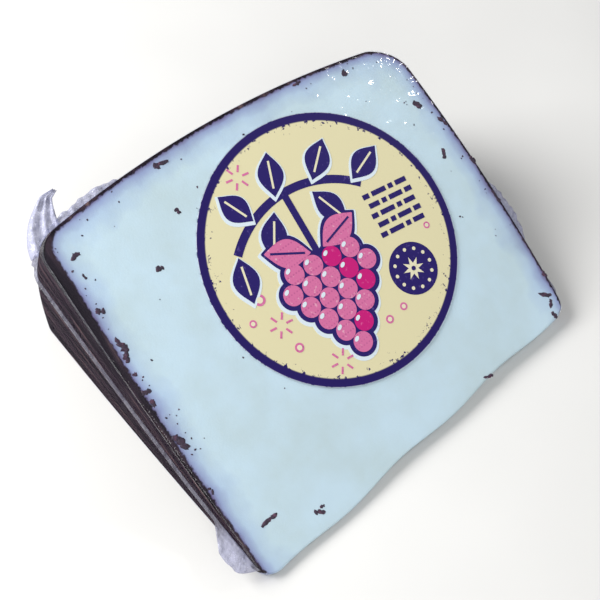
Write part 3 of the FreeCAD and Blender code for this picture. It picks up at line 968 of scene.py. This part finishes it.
# %% Paper with its ring and field
CREAM_FIELD, RING_INK = "#d9d1a8", "#1e0f58"
WORN_FROM, RING_INSIDE = 0.82, 0.94  # shares of the label's radius
WORN_MOST = 0.18
SPECKS_PER_MM = 0.9
paper = new_material("coated_paper_printed")
paper_place = add(paper, "ShaderNodeTexCoord")
radius_node = add(paper, "ShaderNodeVectorMath", {0: paper_place.outputs["Object"]},
                  operation="DISTANCE", in_1=LABEL_MIDDLE + FACE_OUT * PAPER * MM)
radius_share = add(paper, "ShaderNodeMath", {0: radius_node.outputs["Value"]}, operation="DIVIDE",
                   in_1=LABEL_RADIUS * MM)
field_colour = set_ramp(add(paper, "ShaderNodeValToRGB", {"Fac": radius_share.outputs[0]}),
                        ((0.0, CREAM_FIELD), (0.935, CREAM_FIELD), (0.942, RING_INK),
                         (0.996, RING_INK), (0.999, "#c9cbdc")))
fibre = add(paper, "ShaderNodeTexNoise", {"Vector": in_millimetres(paper)},
            in_Scale=SPECKS_PER_MM, in_Detail=6.0, in_Roughness=0.7)
near_ring = add(paper, "ShaderNodeMapRange", {"Value": radius_share.outputs[0]},
                in_From_Min=WORN_FROM, in_From_Max=RING_INSIDE, in_To_Min=0.0,
                in_To_Max=WORN_MOST)
speckle = add(paper, "ShaderNodeMath", {0: fibre.outputs["Fac"], 1: near_ring.outputs["Result"]},
              operation="ADD")
speckled = set_ramp(add(paper, "ShaderNodeValToRGB", {"Fac": speckle.outputs[0]}),
                    ((0.735, "#000000"), (0.75, "#ffffff")))
printed = add(paper, "ShaderNodeMix",
              {0: speckled.outputs["Color"], 6: field_colour.outputs["Color"]},
              data_type="RGBA", in_7=linear(RING_INK))
paper_skin = add(paper, "ShaderNodeBsdfPrincipled", {"Base Color": printed.outputs[2]},
                 in_Roughness=0.42, in_Specular_IOR_Level=0.25)
add(paper, "ShaderNodeOutputMaterial", {"Surface": paper_skin.outputs[0]})
give(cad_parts["label"], paper)

# %% [markdown]
# ### Printing inks
#
# Each ink is a thin satin layer. Noise leaves it a little worn, so that small paler flecks show. The
# rose ink is a halftone: a screen of darker dots on a lighter pink. A real screen has its dots half
# a millimetre apart or less, and this one is drawn a little coarser so that it shows.

# %% Inks
HALFTONE = 0.7
FLECKS_PER_MM = 1.2


def ink(name, base, worn, dots=None):
    """An ink with its worn flecks and, where dots gives their colour, a halftone screen."""
    made = new_material(name)
    wear = add(made, "ShaderNodeTexNoise", {"Vector": in_millimetres(made)},
               in_Scale=FLECKS_PER_MM, in_Detail=5.0)
    colour = set_ramp(add(made, "ShaderNodeValToRGB", {"Fac": wear.outputs["Fac"]}),
                      ((0.62, base), (0.72, worn)))
    source = colour.outputs["Color"]
    if dots:
        screen = add(made, "ShaderNodeTexVoronoi", {"Vector": in_millimetres(made)},
                     in_Scale=1 / HALFTONE, in_Randomness=0.0)
        dot = set_ramp(add(made, "ShaderNodeValToRGB", {"Fac": screen.outputs["Distance"]}),
                       ((0.22, "#ffffff"), (0.34, "#000000")))
        halftone = add(made, "ShaderNodeMix", {0: dot.outputs["Color"], 6: source},
                       data_type="RGBA", in_7=linear(dots))
        source = halftone.outputs[2]
    skin_of_ink = add(made, "ShaderNodeBsdfPrincipled", {"Base Color": source}, in_Roughness=0.42,
                      in_Specular_IOR_Level=0.25)
    add(made, "ShaderNodeOutputMaterial", {"Surface": skin_of_ink.outputs[0]})
    return made


give(PRINTED["pale"], ink("offset_ink_pale_blue", "#d3dfe6", "#c2cdd0"))
give(PRINTED["indigo"], ink("offset_ink_indigo", "#221560", "#4a3d80"))
give(PRINTED["rose"], ink("offset_ink_rose", "#cd6c9a", "#dba0b6", dots="#b85c8c"))
give(PRINTED["magenta"], ink("offset_ink_magenta", "#bf1572", "#cf5590"))
give(PRINTED["cream"], ink("offset_ink_cream", "#ded8b8", "#cbc4a0"))

# %% [markdown]
# ## Stage, light and camera
#
# The pack lies on a plain pale floor, which shows its soft shadow. A broad lamp beyond the heel, on
# the +Y side, is the main light. A weaker one on the tip's side opens the shadows, and a small one
# past the -Y side is there for the glints in the film's ripples. An even, pale sky fills the rest.

# %% Floor
FLOOR_HALF_WIDTH = 1.6
floor_mesh = bmesh.new()
bmesh.ops.create_grid(floor_mesh, x_segments=1, y_segments=1, size=FLOOR_HALF_WIDTH)
floor_data = bpy.data.meshes.new("floor")
floor_mesh.to_mesh(floor_data)
floor_mesh.free()
floor = bpy.data.objects.new("floor", floor_data)
bpy.context.scene.collection.objects.link(floor)
ground = new_material("matt_backdrop_paint")
ground_noise = add(ground, "ShaderNodeTexNoise", {"Vector": in_millimetres(ground)}, in_Scale=0.02)
ground_colour = set_ramp(add(ground, "ShaderNodeValToRGB", {"Fac": ground_noise.outputs["Fac"]}),
                         ((0.3, "#d6d5d2"), (0.7, "#dbdad7")))
ground_skin = add(ground, "ShaderNodeBsdfPrincipled", {"Base Color": ground_colour.outputs["Color"]},
                  in_Roughness=0.9)
add(ground, "ShaderNodeOutputMaterial", {"Surface": ground_skin.outputs[0]})
give(floor, ground)

# %% Lamps and sky
TARGET = Vector((-5.7, 6.2, 20.0)) * MM
LAMPS = (
    # name, place in metres, width in metres and watts of each lamp
    ("broad_lamp", (0.25, 0.26, 0.32), 0.3, 3.2),
    ("low_lamp", (-0.50, 0.30, 0.40), 0.4, 1.5),
    ("small_lamp", (-0.10, -0.36, 0.42), 0.03, 0.24),
)
SKY_COLOUR, SKY_STRENGTH = "#f4f6fa", 0.42
for name, place, size, watts in LAMPS:
    lamp = bpy.data.lights.new(name, "AREA")
    lamp.shape = "DISK"
    lamp.size = size
    lamp.energy = watts
    holder = bpy.data.objects.new(name, lamp)
    holder.location = place
    holder.rotation_euler = (TARGET - Vector(place)).to_track_quat("-Z", "Y").to_euler()
    bpy.context.scene.collection.objects.link(holder)
    print(name, "gives", watts, "W")
sky = bpy.data.worlds.new("sky")
sky.use_nodes = True
sky.node_tree.nodes["Background"].inputs["Color"].default_value = linear(SKY_COLOUR)
sky.node_tree.nodes["Background"].inputs["Strength"].default_value = SKY_STRENGTH
bpy.context.scene.world = sky

# %% Camera
CAMERA_PLACE = Vector((-85.2, 80.8, 190.9)) * MM
CAMERA_ROLL = math.radians(2.635)
lens = bpy.data.cameras.new("camera")
lens.sensor_width = 36.0
lens.lens = 60.0
camera = bpy.data.objects.new("camera", lens)
camera.location = CAMERA_PLACE
aim = (TARGET - CAMERA_PLACE).to_track_quat("-Z", "Y")
camera.rotation_euler = (aim.to_matrix() @ Matrix.Rotation(CAMERA_ROLL, 3, "Z")).to_euler()
bpy.context.scene.collection.objects.link(camera)
bpy.context.scene.camera = camera
bpy.context.scene.view_settings.view_transform = "Standard"
print("camera stands", round((CAMERA_PLACE - TARGET).length / MM), "mm from its target")
